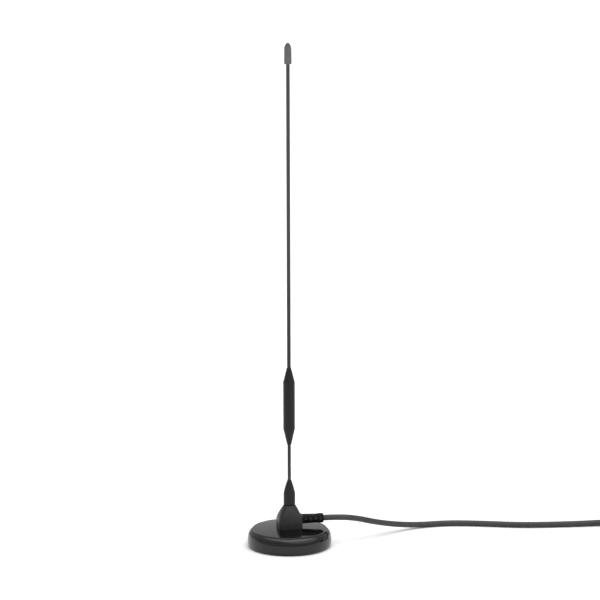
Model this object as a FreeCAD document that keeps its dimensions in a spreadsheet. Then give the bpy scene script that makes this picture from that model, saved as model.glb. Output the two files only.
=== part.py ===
"""Magnetic-mount cellular whip antenna with its coax lead, as a parametric FreeCAD document.

Millimetres. The origin is the centre of the foot pad's underside, +Z runs up the whip and
+X points the way the lead leaves the housing. Each separate piece is one object of the
document, and is written to parts/<Label>.step.
"""
import FreeCAD, Part
import Sketcher
import math
import os

from FreeCAD import Placement, Rotation, Vector

# ---------------------------------------------------------------- driving dimensions
SIZES = {
    # foot pad and base cover
    "pad_radius": 23.5, "pad_thickness": 0.5,
    "cover_foot_radius": 24.3, "foot_bend": 1.49,
    "cover_low_radius": 25.6, "cover_low_height": 1.7, "side_bend": 13.96,
    "cover_shoulder_radius": 25.35, "cover_shoulder_height": 8.0, "shoulder_bend": 3.5,
    "cover_rim_height": 10.25, "crown_radius": 22.9, "crown_edge_height": 11.1,
    "crown_height": 12.0, "crown_bend": 291.8,
    "cover_ceiling": 9.3, "cover_inside_radius": 22.2, "cover_inner_corner": 0.5,
    "rim_groove_outside": 0.55, "rim_groove_inside": 0.12, "rim_groove_depth": 0.3,
    # steel cup, magnet and the screws that hold the cup
    "cup_radius": 22.0, "cup_wall": 1.6, "cup_height": 6.8, "cup_roof": 1.6,
    "cup_corner": 1.0, "magnet_radius": 20.3, "magnet_hole_radius": 9.6, "magnet_edge": 0.3,
    "cup_screw_offset": 5.2, "cup_screw_length": 3.6, "screw_boss_radius": 2.3,
    "screw_radius": 1.1, "screw_head_radius": 1.8, "screw_head_height": 1.3,
    "screw_driver_radius": 0.8, "screw_driver_depth": 0.8, "screw_clearance": 0.12,
    "press_clearance": 0.02, "glued_gap": 0.01, "pilot_spare": 0.3,
    # housing
    "housing_side": 14.8, "housing_corner": 3.0, "housing_foot": 11.0,
    "housing_wall_top": 16.6, "housing_top": 26.0, "housing_neck_radius": 3.62,
    "housing_wall": 1.6, "cavity_shelf": 17.5, "cavity_radius": 4.4, "cavity_roof": 22.3,
    "gasket_thickness": 0.4, "gasket_lip": 0.1, "seat_clearance": 0.1,
    "housing_screw_offset": 4.2, "housing_screw_radius": 0.9, "housing_screw_length": 6.2,
    "housing_boss_radius": 1.7, "housing_boss_height": 5.5, "pilot_floor": 0.6,
    # contact stud, nut and solder tag
    "stud_radius": 2.29, "stud_thread_radius": 1.95, "stud_top": 31.2, "stud_shoulder": 18.6,
    "stem_radius": 1.25, "stem_end": 15.2, "tag_thickness": 0.4, "tag_radius": 2.6,
    "tag_reach": 3.5, "tag_drop": 2.1, "tag_width": 1.6, "stud_nut_flats": 5.0,
    "stud_nut_height": 1.8,
    # cable entry
    "lead_height": 16.7, "entry_boss_radius": 3.4, "entry_face": 7.6, "entry_hole_radius": 2.6,
    "relief_end": 21.0, "relief_root_radius": 3.0, "relief_tip_radius": 2.75,
    "relief_flange_radius": 3.2, "relief_flange_start": 5.0, "relief_slot_width": 1.45,
    "relief_slot_pitch": 3.2, "relief_first_slot": 9.2, "relief_slots": 4.0, "relief_slot_reach": 1.7,
    "relief_collar_length": 3.6, "relief_collar_radius": 2.95, "relief_edge": 0.3,
    "lead_radius": 1.8, "braid_radius": 1.35, "core_radius": 0.95, "conductor_radius": 0.3,
    "jacket_start": 4.95, "braid_start": 4.3, "core_start": 4.0,
    "ferrule_radius": 1.85, "strap_thickness": 0.3, "strap_width": 2.4, "strap_x": 3.9,
    "strap_foot": 3.0, "strap_slot_margin": 0.3,
    # whip foot: washer, boot, threaded ferrule
    "washer_lift": 0.05, "washer_thickness": 0.35, "washer_radius": 3.4,
    "washer_hole_radius": 2.1,
    "whip_start": 26.45, "boot_radius": 3.58, "boot_shoulder": 33.4, "boot_top": 41.7,
    "boot_tip_radius": 1.22, "boot_bend": 58.0, "whip_ferrule_radius": 2.9,
    "whip_ferrule_length": 9.2, "thread_bore_radius": 2.02, "thread_depth": 5.4,
    "ferrule_taper_drop": 1.6, "ferrule_taper_step": 0.6, "drill_point": 0.6,
    "edge_break": 0.2,
    # rods
    "lower_rod_radius": 1.03, "lower_rod_start": 33.0, "lower_rod_end": 70.0,
    "upper_rod_radius": 1.14, "upper_rod_start": 105.0, "upper_rod_end": 302.0,
    "rod_clearance": 0.03, "rod_edge": 0.15,
    # phasing coil
    "coil_cover_start": 64.1, "coil_cover_low": 74.0, "coil_cover_high": 103.2,
    "coil_cover_end": 112.2, "coil_cover_radius": 3.58, "coil_cover_nose_radius": 1.3,
    "coil_cover_wall": 0.75, "coil_cover_lower_plug": 3.0, "coil_cover_upper_plug": 2.5,
    "coil_cover_near": 0.4, "coil_cover_far": 1.6,
    "coil_ferrule_radius": 1.6, "coil_disc_radius": 2.6,
    "coil_disc_thickness": 0.8, "former_radius": 1.5, "former_start": 73.6,
    "former_end": 103.6, "winding_radius": 2.05, "winding_wire_radius": 0.4,
    "winding_pitch": 3.0, "winding_turns": 9.0,
    # tip cap
    "cap_start": 298.2, "cap_top": 311.0, "cap_radius": 2.28, "cap_shoulder_radius": 2.2,
    "cap_shoulder": 307.3, "cap_bend": 5.2, "cap_land_radius": 0.45,
    # coil of spare lead and its tie
    "coil_x": 234.0, "coil_y": -22.0, "coil_lift": 1.0, "coil_inside_radius": 12.0,
    "coil_outside_radius": 30.2, "coil_height": 15.6, "coil_corner": 2.4,
    "tie_thickness": 0.8, "tie_width": 6.0, "tie_slack": 0.45, "tie_gap": 0.15,
    # plug
    "plug_x": 270.0, "plug_y": -42.4, "plug_height": 4.75,
    "nut_flats": 8.0, "nut_length": 8.0, "nut_overhang": 2.4, "nut_bore_radius": 3.0,
    "nut_back_radius": 2.6, "nut_back_length": 1.4, "plug_body_radius": 2.5,
    "plug_barrel_radius": 3.1, "plug_barrel_length": 3.2, "plug_face_radius": 2.28,
    "plug_edge": 0.3, "plug_back_gap": 0.3, "plug_web": 1.0, "plug_face_length": 3.0,
    "stub_wall": 0.35, "stub_length": 5.0,
    "dielectric_radius": 2.05, "pin_radius": 0.455, "pin_overhang": 1.3, "pin_length": 9.5,
    "pin_point": 0.3,
    "ring_inner_radius": 2.2, "ring_outer_radius": 2.5, "ring_width": 0.5, "ring_slack": 0.05,
    "ring_spread": 0.2,
    "crimp_radius": 2.3, "crimp_length": 7.5, "sleeve_radius": 2.75, "sleeve_length": 13.0,
    "sleeve_overlap": 6.5, "sleeve_neck_radius": 2.2, "sleeve_taper_start": 1.5,
    "sleeve_taper_end": 0.2,
    "seal_inner_radius": 2.3, "seal_thickness": 0.6, "seal_setback": 1.2, "seal_gap": 0.15,
    # longer than any wall that a hole goes through
    "through_cut": 5.0,
}

# Sections of the housing's taper: share of its height, share of the way from the wall's width
# to the neck's, and how much the corner radius grows, in millimetres.
TAPER_SECTIONS = [
    (0.25, 0.13, 0.55),
    (0.52, 0.36, 1.10),
    (0.78, 0.68, 1.05),
    (1.0, 1.0, 0.59),
]

# The lead's route where it isn't coiled: corner points of its runs.
LEAD_ROUTE = [
    (21.0, 0.0, 16.7),
    (30.0, 0.0, 16.7),
    (42.0, 3.0, 14.7),
    (56.0, 9.8, 9.5),
    (71.0, 18.4, 4.9),
    (87.0, 25.2, 1.85),
    (106.0, 26.6, 1.85),
    (127.0, 21.0, 1.85),
    (149.0, 13.0, 1.85),
    (172.0, 9.8, 1.85),
    (194.0, 8.2, 1.95),
    (215.0, 6.4, 2.6),
    (234.0, 6.0, 2.9),
]
TAIL_ROUTE = [
    (234.0, 6.0, 13.2),
    (245.0, 6.4, 12.0),
    (256.5, 4.4, 9.0),
    (265.0, -2.0, 6.1),
    (269.2, -10.5, 4.95),
    (270.0, -19.5, 4.75),
    (270.0, -28.0, 4.75),
]
ARC_SHARE = 0.45
# The least volume, in cubic millimetres, that a cut has to remove.
LEAST_CUT = 0.01

doc = FreeCAD.newDocument("MagneticMountAntenna")
sheet = doc.addObject("Spreadsheet::Sheet", "Sizes")
pieces = []


# ---------------------------------------------------------------- sizes as expressions
class Size:
    """A value in millimetres with the sheet expression that gives it."""

    def __init__(self, value, text):
        self.value = value
        self.text = text

    def __add__(self, other):
        other = as_size(other)
        return Size(self.value + other.value, f"({self.text} + {other.text})")

    def __sub__(self, other):
        other = as_size(other)
        return Size(self.value - other.value, f"({self.text} - {other.text})")

    def __mul__(self, other):
        other = as_size(other)
        return Size(self.value * other.value, f"({self.text} * {other.text})")

    def __truediv__(self, other):
        other = as_size(other)
        return Size(self.value / other.value, f"({self.text} / {other.text})")

    def __neg__(self):
        return Size(-self.value, f"(0 - {self.text})")


def as_size(value):
    if isinstance(value, Size):
        return value
    return Size(float(value), repr(float(value)))


def fill_sheet():
    """Write every driving dimension to its own cell, with the dimension's name as alias."""
    for row, (alias, value) in enumerate(SIZES.items(), start=1):
        sheet.set(f"A{row}", alias)
        sheet.set(f"B{row}", str(value))
        sheet.setAlias(f"B{row}", alias)
    doc.recompute()


def size(alias):
    return Size(float(sheet.get(alias)), f"Sizes.{alias}")


def bind(target, path, value):
    target.setExpression(path, as_size(value).text)


# ---------------------------------------------------------------- sketches
def new_body(name):
    body = doc.addObject("PartDesign::Body", name)
    body.Label = name
    pieces.append(body)
    return body


def sketch_on(body, role, name, offset=0):
    """A sketch on one of the body's own origin planes, moved along its normal by offset."""
    plane = [item for item in body.Origin.OriginFeatures if item.Role == role][0]
    sketch = body.newObject("Sketcher::SketchObject", name)
    sketch.AttachmentSupport = [(plane, "")]
    sketch.MapMode = "FlatFace"
    distance = as_size(offset)
    sketch.AttachmentOffset = Placement(Vector(0, 0, distance.value), Rotation())
    bind(sketch, "AttachmentOffset.Base.z", distance)
    return sketch


def pin_point(sketch, curve, end, x, y):
    """Hold one point of a curve at (x, y) from the sketch's origin."""
    for kind, value, axis in (("DistanceX", x, -2), ("DistanceY", y, -1)):
        if abs(value.value) < 1e-9:
            sketch.addConstraint(Sketcher.Constraint("PointOnObject", curve, end, axis))
        else:
            index = sketch.addConstraint(Sketcher.Constraint(kind, -1, 1, curve, end, value.value))
            bind(sketch, f"Constraints[{index}]", value)


def arc_centre(start, end, bend):
    """Centre of the minor arc from start to end, which turns left for bend > 0, right below 0."""
    chord = end - start
    side = 1 if bend > 0 else -1
    normal = Vector(-chord.y, chord.x, 0) / chord.Length
    reach = math.sqrt(max(bend ** 2 - (chord.Length / 2) ** 2, 0))
    return (start + end) / 2 + normal * reach * side


def draw_outline(sketch, points):
    """A closed outline. A point is (x, y) or (x, y, bend): bend is the radius of the arc that
    leaves it, above zero where the arc turns left and below zero where it turns right."""
    corners = [(as_size(p[0]), as_size(p[1])) for p in points]
    bends = [as_size(p[2]) if len(p) > 2 else None for p in points]
    places = [Vector(x.value, y.value, 0) for x, y in corners]
    ends = []
    for index, start in enumerate(places):
        finish = places[(index + 1) % len(places)]
        bend = bends[index]
        if bend is None:
            curve = sketch.addGeometry(Part.LineSegment(start, finish))
            ends.append((curve, 1, 2))
            continue
        centre = arc_centre(start, finish, bend.value)
        first, last = (start, finish) if bend.value > 0 else (finish, start)
        turn_first = math.atan2(first.y - centre.y, first.x - centre.x)
        turn_last = math.atan2(last.y - centre.y, last.x - centre.x)
        circle = Part.Circle(centre, Vector(0, 0, 1), abs(bend.value))
        curve = sketch.addGeometry(Part.ArcOfCircle(circle, turn_first, turn_last))
        ends.append((curve, 1, 2) if bend.value > 0 else (curve, 2, 1))
    for index, (curve, start_end, finish_end) in enumerate(ends):
        following = ends[(index + 1) % len(ends)]
        joint = Sketcher.Constraint("Coincident", curve, finish_end, following[0], following[1])
        sketch.addConstraint(joint)
        pin_point(sketch, curve, start_end, *corners[index])
        if bends[index] is not None:
            radius = bends[index] if bends[index].value > 0 else -bends[index]
            held = sketch.addConstraint(Sketcher.Constraint("Radius", curve, radius.value))
            bind(sketch, f"Constraints[{held}]", radius)


def draw_circle(sketch, x, y, radius):
    x, y, radius = as_size(x), as_size(y), as_size(radius)
    centre = Vector(x.value, y.value, 0)
    curve = sketch.addGeometry(Part.Circle(centre, Vector(0, 0, 1), radius.value))
    pin_point(sketch, curve, 3, x, y)
    held = sketch.addConstraint(Sketcher.Constraint("Radius", curve, radius.value))
    bind(sketch, f"Constraints[{held}]", radius)


def draw_box(sketch, low_x, low_y, high_x, high_y):
    draw_outline(sketch, [(low_x, low_y), (high_x, low_y), (high_x, high_y), (low_x, high_y)])


def draw_rounded_square(sketch, side, corner):
    """A square about the origin with rounded corners, drawn anticlockwise."""
    side, corner = as_size(side), as_size(corner)
    half = side / 2
    flat = half - corner
    draw_outline(sketch, [
        (-flat, -half), (flat, -half, corner),
        (half, -flat), (half, flat, corner),
        (flat, half), (-flat, half, corner),
        (-half, flat), (-half, -flat, corner),
    ])


# ---------------------------------------------------------------- features
def feature(body, kind, name, sketch):
    item = body.newObject(kind, name)
    item.Profile = sketch
    return item


def turned(name, points):
    """A body turned about its own Z axis from an outline of (radius, height) points."""
    body = new_body(name)
    sketch = sketch_on(body, "XZ_Plane", name + "_outline")
    draw_outline(sketch, points)
    turn = feature(body, "PartDesign::Revolution", name + "_turn", sketch)
    turn.ReferenceAxis = (sketch, ["V_Axis"])
    turn.Angle = 360
    return body


def tube(name, inner, outer, low, high):
    return turned(name, [(inner, low), (outer, low), (outer, high), (inner, high)])


def pad(body, sketch, name, length, downward=False):
    item = feature(body, "PartDesign::Pad", name, sketch)
    item.Length = as_size(length).value
    bind(item, "Length", length)
    item.Reversed = downward
    return item


def pocket(body, sketch, name, length, against_normal=False):
    """Cut a pocket along the sketch's normal, and make sure that it removes material."""
    doc.recompute()
    before = body.Shape.Volume
    item = feature(body, "PartDesign::Pocket", name, sketch)
    item.Length = as_size(length).value
    bind(item, "Length", length)
    item.Reversed = not against_normal
    doc.recompute()
    if body.Shape.Volume > before - LEAST_CUT:
        raise RuntimeError(f"{name} cuts nothing")
    return item


def laid_along_x(body, height):
    """Lay a piece built along Z on the lead's line, so that its Z runs along +X."""
    body.Placement = Placement(Vector(0, 0, as_size(height).value), Rotation(Vector(0, 1, 0), 90))
    bind(body, "Placement.Base.z", height)
    return body


def laid_on_plug(body):
    """Lay a piece built along Z on the plug's line: its Z points out of the plug, to -Y."""
    body.Placement = Placement(
        Vector(size("plug_x").value, size("plug_y").value, size("plug_height").value),
        Rotation(Vector(1, 0, 0), 90))
    bind(body, "Placement.Base.x", size("plug_x"))
    bind(body, "Placement.Base.y", size("plug_y"))
    bind(body, "Placement.Base.z", size("plug_height"))
    return body


def hexagon(sketch, flats):
    """A regular hexagon about the origin, flats apart from each other along Y."""
    flats = as_size(flats)
    half = flats / 2
    corner = flats / math.sqrt(3)
    draw_outline(sketch, [
        (corner, 0), (corner / 2, half), (-corner / 2, half),
        (-corner, 0), (-corner / 2, -half), (corner / 2, -half),
    ])


# ---------------------------------------------------------------- base
def make_foot_pad():
    radius, thickness = size("pad_radius"), size("pad_thickness")
    edge = thickness / 4
    turned("foot_pad", [
        (0, 0), (radius - edge, 0), (radius, edge), (radius, thickness), (0, thickness)])


def make_base_cover():
    """Puck shell: a raised, crowned top with a groove round it, and one rounded side."""
    floor, ceiling = size("pad_thickness"), size("cover_ceiling")
    crown, inside = size("crown_radius"), size("cover_inside_radius")
    rim, rim_height = crown + size("rim_groove_outside"), size("cover_rim_height")
    body = turned("base_cover", [
        (0, ceiling),
        (inside - size("cover_inner_corner"), ceiling),
        (inside, ceiling - size("cover_inner_corner")),
        (inside, floor),
        (size("cover_foot_radius"), floor, size("foot_bend")),
        (size("cover_low_radius"), size("cover_low_height"), size("side_bend")),
        (size("cover_shoulder_radius"), size("cover_shoulder_height"), size("shoulder_bend")),
        (rim, rim_height),
        (rim, rim_height - size("rim_groove_depth")),
        (crown + size("rim_groove_inside"), rim_height - size("rim_groove_depth")),
        (crown, size("crown_edge_height"), size("crown_bend")),
        (0, size("crown_height")),
    ])
    offset = size("cup_screw_offset")
    bosses = sketch_on(body, "XY_Plane", "cover_bosses", size("cup_height"))
    for side in (1, -1):
        draw_circle(bosses, offset * side, offset * -side, size("screw_boss_radius"))
    pad(body, bosses, "cover_boss_pad", ceiling - size("cup_height") + size("edge_break"))
    pilots = sketch_on(body, "XY_Plane", "cover_pilots", size("cup_height"))
    for side in (1, -1):
        pilot = size("screw_radius") + size("press_clearance")
        draw_circle(pilots, offset * side, offset * -side, pilot)
    pilot_depth = size("cup_screw_length") - size("cup_roof") + size("pilot_spare")
    pocket(body, pilots, "cover_pilot_cut", pilot_depth)
    seat = sketch_on(body, "XY_Plane", "housing_seat", size("housing_foot") - size("gasket_thickness"))
    draw_rounded_square(seat, size("housing_side") + size("seat_clearance") * 2,
                        size("housing_corner") + size("seat_clearance"))
    pocket(body, seat, "housing_seat_cut", size("through_cut"))
    holes = sketch_on(body, "XY_Plane", "housing_screw_holes", ceiling)
    place = size("housing_screw_offset")
    for side in (1, -1):
        hole = size("housing_screw_radius") + size("screw_clearance")
        draw_circle(holes, place * side, place * side, hole)
    pocket(body, holes, "housing_screw_cut", size("through_cut"))
    slot = sketch_on(body, "XY_Plane", "strap_slot", ceiling)
    margin = size("strap_slot_margin")
    strap_x, slot_half = size("strap_x"), size("strap_width") / 2 + margin
    draw_box(slot, strap_x - margin, -slot_half,
             strap_x + size("strap_thickness") + margin, slot_half)
    pocket(body, slot, "strap_slot_cut", size("through_cut"))


def make_pole_cup():
    floor, top = size("pad_thickness"), size("cup_height")
    radius, corner = size("cup_radius"), size("cup_corner")
    inside = radius - size("cup_wall")
    body = turned("pole_cup", [
        (0, top - size("cup_roof")), (inside, top - size("cup_roof")), (inside, floor),
        (radius, floor), (radius, top - corner, corner), (radius - corner, top), (0, top)])
    holes = sketch_on(body, "XY_Plane", "cup_holes", top - size("cup_roof") - size("edge_break"))
    offset = size("cup_screw_offset")
    for side in (1, -1):
        hole = size("screw_radius") + size("screw_clearance")
        draw_circle(holes, offset * side, offset * -side, hole)
    pocket(body, holes, "cup_hole_cut", size("through_cut"))


def make_ring_magnet():
    low = size("pad_thickness")
    high = size("cup_height") - size("cup_roof")
    inner, outer, edge = size("magnet_hole_radius"), size("magnet_radius"), size("magnet_edge")
    turned("ring_magnet", [
        (inner + edge, low), (outer - edge, low), (outer, low + edge), (outer, high),
        (inner, high), (inner, low + edge)])


def screw(name, x, y, underhead, shank_radius, length):
    """One pan-head screw with its axis up and its head below the underhead height."""
    head_radius, head_height = size("screw_head_radius"), size("screw_head_height")
    holder = doc.addObject("Part::Cylinder", name + "_shank")
    bind(holder, "Radius", shank_radius)
    bind(holder, "Height", length)
    head = doc.addObject("Part::Cylinder", name + "_head")
    bind(head, "Radius", head_radius)
    bind(head, "Height", head_height)
    driver = doc.addObject("Part::Prism", name + "_driver")
    driver.Polygon = 4
    bind(driver, "Circumradius", size("screw_driver_radius"))
    bind(driver, "Height", size("screw_driver_depth"))
    for item, level in ((holder, underhead), (head, underhead - head_height),
                        (driver, underhead - head_height)):
        bind(item, "Placement.Base.x", x)
        bind(item, "Placement.Base.y", y)
        bind(item, "Placement.Base.z", level)
    solid = doc.addObject("Part::MultiFuse", name + "_solid")
    solid.Shapes = [holder, head]
    cut = doc.addObject("Part::Cut", name)
    cut.Base = solid
    cut.Tool = driver
    return cut


def screw_pair(name, positions, underhead, shank_radius, length):
    """Two identical screws as one piece of two solids."""
    group = doc.addObject("Part::Compound", name)
    group.Label = name
    links = []
    for number, (x, y) in enumerate(positions, start=1):
        links.append(screw(f"{name}_{number}", x, y, underhead, shank_radius, length))
    group.Links = links
    pieces.append(group)


def make_base_screws():
    offset = size("cup_screw_offset")
    screw_pair("cup_screws", [(offset, -offset), (-offset, offset)],
               size("cup_height") - size("cup_roof"), size("screw_radius"),
               size("cup_screw_length"))
    place = size("housing_screw_offset")
    screw_pair("housing_screws", [(place, place), (-place, -place)],
               size("cover_ceiling"), size("housing_screw_radius"),
               size("housing_screw_length"))


# ---------------------------------------------------------------- housing
def make_housing_gasket():
    body = new_body("housing_gasket")
    low = size("housing_foot") - size("gasket_thickness")
    outer = sketch_on(body, "XY_Plane", "gasket_outside", low)
    lip = size("gasket_lip")
    draw_rounded_square(outer, size("housing_side") - lip * 2, size("housing_corner") - lip)
    pad(body, outer, "gasket_pad", size("gasket_thickness"))
    inner = sketch_on(body, "XY_Plane", "gasket_inside", low - size("gasket_lip"))
    draw_rounded_square(inner, size("housing_side") - size("housing_wall") * 2,
                        size("housing_corner") / 2)
    pocket(body, inner, "gasket_opening", size("through_cut"))


def make_mount_housing():
    """Rounded-square housing whose walls lean in and blend into the round neck."""
    body = new_body("mount_housing")
    side, corner = size("housing_side"), size("housing_corner")
    foot, shoulder, top = size("housing_foot"), size("housing_wall_top"), size("housing_top")
    base = sketch_on(body, "XY_Plane", "housing_base", foot)
    draw_rounded_square(base, side, corner)
    pad(body, base, "housing_walls", shoulder - foot)
    rise = top - shoulder
    neck = size("housing_neck_radius")
    sections = [sketch_on(body, "XY_Plane", "taper_0", shoulder)]
    draw_rounded_square(sections[0], side, corner)
    for number, (share, inset, rounding) in enumerate(TAPER_SECTIONS, start=1):
        section = sketch_on(body, "XY_Plane", f"taper_{number}", shoulder + rise * share)
        section_side = side - (side - neck * 2) * inset
        draw_rounded_square(section, section_side, corner + rounding)
        sections.append(section)
    loft = feature(body, "PartDesign::AdditiveLoft", "housing_taper", sections[0])
    loft.Sections = sections[1:]
    loft.Ruled = False
    boss = sketch_on(body, "YZ_Plane", "entry_boss", side / 2 - size("housing_wall"))
    draw_circle(boss, 0, size("lead_height"), size("entry_boss_radius"))
    pad(body, boss, "entry_boss_pad", size("entry_face") - side / 2 + size("housing_wall"))
    wall = size("housing_wall")
    cavity = sketch_on(body, "XY_Plane", "cavity", foot)
    draw_rounded_square(cavity, side - wall * 2, corner / 2)
    pocket(body, cavity, "cavity_cut", size("cavity_shelf") - foot)
    attic = sketch_on(body, "XY_Plane", "attic", foot)
    draw_circle(attic, 0, 0, size("cavity_radius"))
    pocket(body, attic, "attic_cut", size("cavity_roof") - foot)
    place = size("housing_screw_offset")
    bosses = sketch_on(body, "XY_Plane", "screw_bosses", foot)
    for sign in (1, -1):
        draw_circle(bosses, place * sign, place * sign, size("housing_boss_radius"))
    pad(body, bosses, "screw_boss_pad", size("housing_boss_height"))
    pilots = sketch_on(body, "XY_Plane", "screw_pilots", foot)
    pilot = size("housing_screw_radius") + size("press_clearance")
    for sign in (1, -1):
        draw_circle(pilots, place * sign, place * sign, pilot)
    pocket(body, pilots, "screw_pilot_cut", size("housing_boss_height") - size("pilot_floor"))
    bore = sketch_on(body, "XY_Plane", "stud_bore", foot)
    draw_circle(bore, 0, 0, size("stud_radius") + size("glued_gap"))
    pocket(body, bore, "stud_bore_cut", top - foot + size("edge_break"))
    recess = sketch_on(body, "YZ_Plane", "entry_recess", size("tag_reach"))
    draw_circle(recess, 0, size("lead_height"), size("relief_flange_radius") + size("seat_clearance"))
    pocket(body, recess, "entry_recess_cut", side / 2 - wall - size("tag_reach"))
    entry = sketch_on(body, "YZ_Plane", "entry_hole", side / 2 - wall * 2)
    draw_circle(entry, 0, size("lead_height"), size("entry_hole_radius"))
    pocket(body, entry, "entry_hole_cut", size("through_cut"))


def make_contact_stud():
    radius, thread = size("stud_radius"), size("stud_thread_radius")
    stem, stem_end, top = size("stem_radius"), size("stem_end"), size("stud_top")
    edge = size("edge_break")
    turned("contact_stud", [
        (0, stem_end), (stem - edge, stem_end), (stem, stem_end + edge),
        (stem, size("stud_shoulder")), (radius, size("stud_shoulder")),
        (radius, size("housing_top")), (thread, size("housing_top")),
        (thread, top - edge * 2), (thread - edge * 2, top), (0, top)])


def make_stud_nut():
    body = new_body("stud_nut")
    low = size("stud_shoulder") - size("tag_thickness") - size("stud_nut_height")
    flats = sketch_on(body, "XY_Plane", "stud_nut_hexagon", low)
    hexagon(flats, size("stud_nut_flats"))
    draw_circle(flats, 0, 0, size("stem_radius") + size("press_clearance"))
    pad(body, flats, "stud_nut_pad", size("stud_nut_height"))


def make_feed_lug():
    """Solder tag: a ring under the stud's shoulder with its tail bent down to the conductor."""
    body = new_body("feed_lug")
    thickness, half = size("tag_thickness"), size("tag_width") / 2
    low = size("stud_shoulder") - thickness
    ring = sketch_on(body, "XY_Plane", "lug_ring", low)
    draw_circle(ring, 0, 0, size("tag_radius"))
    pad(body, ring, "lug_ring_pad", thickness)
    tail = sketch_on(body, "XZ_Plane", "lug_tail", -half)
    reach, root = size("tag_reach"), size("stem_radius") + thickness
    draw_outline(tail, [
        (root, low), (reach - thickness, low),
        (reach - thickness, low - size("tag_drop")), (reach, low - size("tag_drop")),
        (reach, low + thickness), (root, low + thickness)])
    pad(body, tail, "lug_tail_pad", size("tag_width"))
    hole = sketch_on(body, "XY_Plane", "lug_hole", low - thickness)
    draw_circle(hole, 0, 0, size("stem_radius") + size("press_clearance"))
    pocket(body, hole, "lug_hole_cut", size("through_cut"))


# ---------------------------------------------------------------- cable entry
def make_strain_relief():
    """Flanged rubber relief. Slots in its two sides leave a spine along its top and bottom."""
    flange, wall = size("relief_flange_start"), size("housing_side") / 2 - size("housing_wall")
    face, tip, edge = size("entry_face"), size("relief_end"), size("relief_edge")
    fit = size("press_clearance")
    bore, neck = size("lead_radius") + fit, size("entry_hole_radius") - fit
    collar, collar_radius = tip - size("relief_collar_length"), size("relief_collar_radius")
    body = turned("strain_relief", [
        (bore, flange), (size("relief_flange_radius"), flange),
        (size("relief_flange_radius"), wall), (neck, wall),
        (neck, face), (size("relief_root_radius"), face),
        (size("relief_tip_radius"), collar), (collar_radius, collar + edge),
        (collar_radius, tip - edge), (collar_radius - edge, tip), (bore, tip)])
    doc.recompute()
    before = body.Shape.Volume
    slot = sketch_on(body, "XZ_Plane", "relief_slot")
    half = size("relief_slot_reach")
    start = size("relief_first_slot")
    draw_box(slot, -half, start, half, start + size("relief_slot_width"))
    cut = feature(body, "PartDesign::Pocket", "relief_slot_cut", slot)
    cut.Type = "ThroughAll"
    cut.Midplane = True
    doc.recompute()
    rows = body.newObject("PartDesign::LinearPattern", "relief_slots")
    rows.Originals = [cut]
    rows.Direction = (slot, ["V_Axis"])
    rows.Occurrences = int(size("relief_slots").value)
    bind(rows, "Length", size("relief_slot_pitch") * (size("relief_slots") - 1))
    body.Tip = rows
    doc.recompute()
    if body.Shape.Volume > before - LEAST_CUT:
        raise RuntimeError("the relief's slots cut nothing")
    laid_along_x(body, size("lead_height"))


def make_stripped_end():
    """The fixed end of the lead: each layer stripped further back than the one inside it."""
    end, height = size("relief_end"), size("lead_height")
    layers = (
        ("jacket_end", size("braid_radius"), size("lead_radius"), size("jacket_start")),
        ("braid_end", size("core_radius"), size("braid_radius"), size("braid_start")),
        ("core_end", size("conductor_radius"), size("core_radius"), size("core_start")),
        ("conductor_end", as_size(0), size("conductor_radius"), size("tag_reach")),
    )
    for name, inner, outer, start in layers:
        laid_along_x(tube(name, inner, outer, start, end), height)
    inner, outer = size("braid_radius") + size("glued_gap"), size("ferrule_radius")
    ferrule = tube("braid_ferrule", inner, outer, size("braid_start"), size("jacket_start"))
    laid_along_x(ferrule, height)


def make_ground_strap():
    """Bent strip from the braid's ferrule, through the cover, down to the steel cup."""
    body = new_body("ground_strap")
    thickness, half = size("strap_thickness"), size("strap_width") / 2
    left = size("strap_x")
    low = size("cup_height")
    high = size("lead_height") - size("ferrule_radius")
    strip = sketch_on(body, "XZ_Plane", "strap_strip", -half)
    draw_outline(strip, [
        (left - size("strap_foot"), low), (left + thickness, low),
        (left + thickness, high - thickness), (size("jacket_start"), high - thickness),
        (size("jacket_start"), high), (left, high),
        (left, low + thickness), (left - size("strap_foot"), low + thickness)])
    pad(body, strip, "strap_pad", size("strap_width"))


# ---------------------------------------------------------------- whip
def make_whip_washer():
    low = size("housing_top") + size("washer_lift")
    tube("whip_washer", size("washer_hole_radius"), size("washer_radius"),
         low, low + size("washer_thickness"))


def make_whip_boot():
    low, top = size("whip_start"), size("boot_top")
    radius, pocket_radius = size("boot_radius"), size("whip_ferrule_radius")
    rod_hole = size("lower_rod_radius") + size("rod_clearance")
    ferrule_top, edge = low + size("whip_ferrule_length"), size("edge_break")
    pocket_wall = pocket_radius + size("glued_gap")
    turned("whip_boot", [
        (pocket_wall, low), (radius - edge, low), (radius, low + edge),
        (radius, size("boot_shoulder"), size("boot_bend")),
        (size("boot_tip_radius"), top), (rod_hole, top),
        (rod_hole, ferrule_top), (pocket_wall - size("ferrule_taper_step"), ferrule_top),
        (pocket_wall, ferrule_top - size("ferrule_taper_drop"))])


def make_whip_ferrule():
    low = size("whip_start") + size("washer_lift")
    high = size("whip_start") + size("whip_ferrule_length")
    radius, bore = size("whip_ferrule_radius"), size("thread_bore_radius")
    socket, edge = size("lower_rod_radius") + size("glued_gap"), size("edge_break")
    bore_end = low + size("thread_depth")
    turned("whip_ferrule", [
        (bore + edge, low), (radius, low), (radius, high - size("ferrule_taper_drop")),
        (radius - size("ferrule_taper_step"), high),
        (socket, high), (socket, size("lower_rod_start")), (0, size("lower_rod_start")),
        (0, bore_end + size("drill_point")), (bore, bore_end), (bore, low + edge)])


def rod(name, radius, low, high):
    """A plain rod with broken edges."""
    edge = size("rod_edge")
    turned(name, [
        (0, low), (radius - edge, low), (radius, low + edge),
        (radius, high - edge), (radius - edge, high), (0, high)])


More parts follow.
